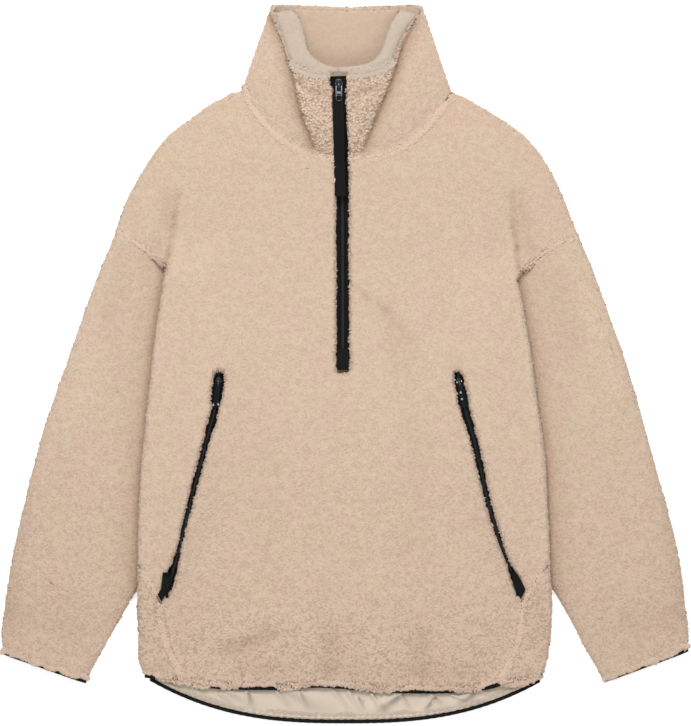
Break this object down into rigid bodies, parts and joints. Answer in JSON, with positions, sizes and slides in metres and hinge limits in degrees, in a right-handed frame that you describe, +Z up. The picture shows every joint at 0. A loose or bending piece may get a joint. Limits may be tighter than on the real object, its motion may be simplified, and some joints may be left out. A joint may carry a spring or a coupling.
{
  "type": "sherpa fleece half-zip pullover",
  "caption": "Loose sherpa fleece pullover laid flat, with a funnel collar, a half zip with a long strap pull, slanted zip pockets, drop shoulders and a dipped back hem.",
  "frame": {"origin": "centre of the bounding box at the surface that the garment lies on", "axes": "+X across towards the right sleeve as seen from above, +Y from the hem towards the collar, +Z up out of the front"},
  "size_m": [0.8276, 0.8648, 0.0413],
  "materials": {
    "fleece": "curly high-pile sherpa, cream beige",
    "fleece_rim": "smooth pale rolled edge",
    "fleece_inside": "short smooth pile, warm beige",
    "lining": "smooth woven lining, beige",
    "binding": "matte black stretch binding",
    "zip": "black woven tape with a coil",
    "patch": "black welded end patch",
    "slider": "dark gunmetal, satin",
    "pull": "dark gunmetal, satin",
    "strap": "matte black webbing",
    "pocket_pull": "matte black webbing"
  },
  "bodies": {
    "garment": {"front_panel": "fleece", "back_panel": "fleece", "side_panel_left": "fleece", "side_panel_right": "fleece", "sleeve_left": "fleece", "sleeve_right": "fleece", "collar": "fleece", "collar_rim_left": "fleece_rim", "collar_rim_right": "fleece_rim", "collar_facing": "fleece_inside", "back_lining": "lining", "hem_binding_front": "binding", "hem_binding_back": "binding", "cuff_binding_left": "binding", "cuff_binding_right": "binding", "front_zip": "zip", "pocket_zip_left": "zip", "pocket_zip_right": "zip", "front_zip_stop": "patch", "pocket_stop_left": "patch", "pocket_stop_right": "patch", "front_slider": "slider", "pocket_slider_left": "slider", "pocket_slider_right": "slider"},
    "front_pull": {"front_pull_tab": "pull", "front_strap": "strap"},
    "left_pocket_pull": {"pocket_pull_left": "pocket_pull"},
    "right_pocket_pull": {"pocket_pull_right": "pocket_pull"}
  },
  "joints": [
    {"name": "front_pull_hinge", "type": "hinge", "parent": "garment", "child": "front_pull", "pos_m": [-0.00736, 0.3326, 0.03741], "axis": [-1, 0, 0], "range_deg": [0, 150]},
    {"name": "left_pocket_pull_hinge", "type": "hinge", "parent": "garment", "child": "left_pocket_pull", "pos_m": [-0.15164, -0.02231, 0.02563], "axis": [-0.9937, 0.1119, 0], "range_deg": [0, 150]},
    {"name": "right_pocket_pull_hinge", "type": "hinge", "parent": "garment", "child": "right_pocket_pull", "pos_m": [0.1372, -0.02302, 0.02253], "axis": [-0.9792, -0.2028, 0], "range_deg": [0, 150]}
  ]
}
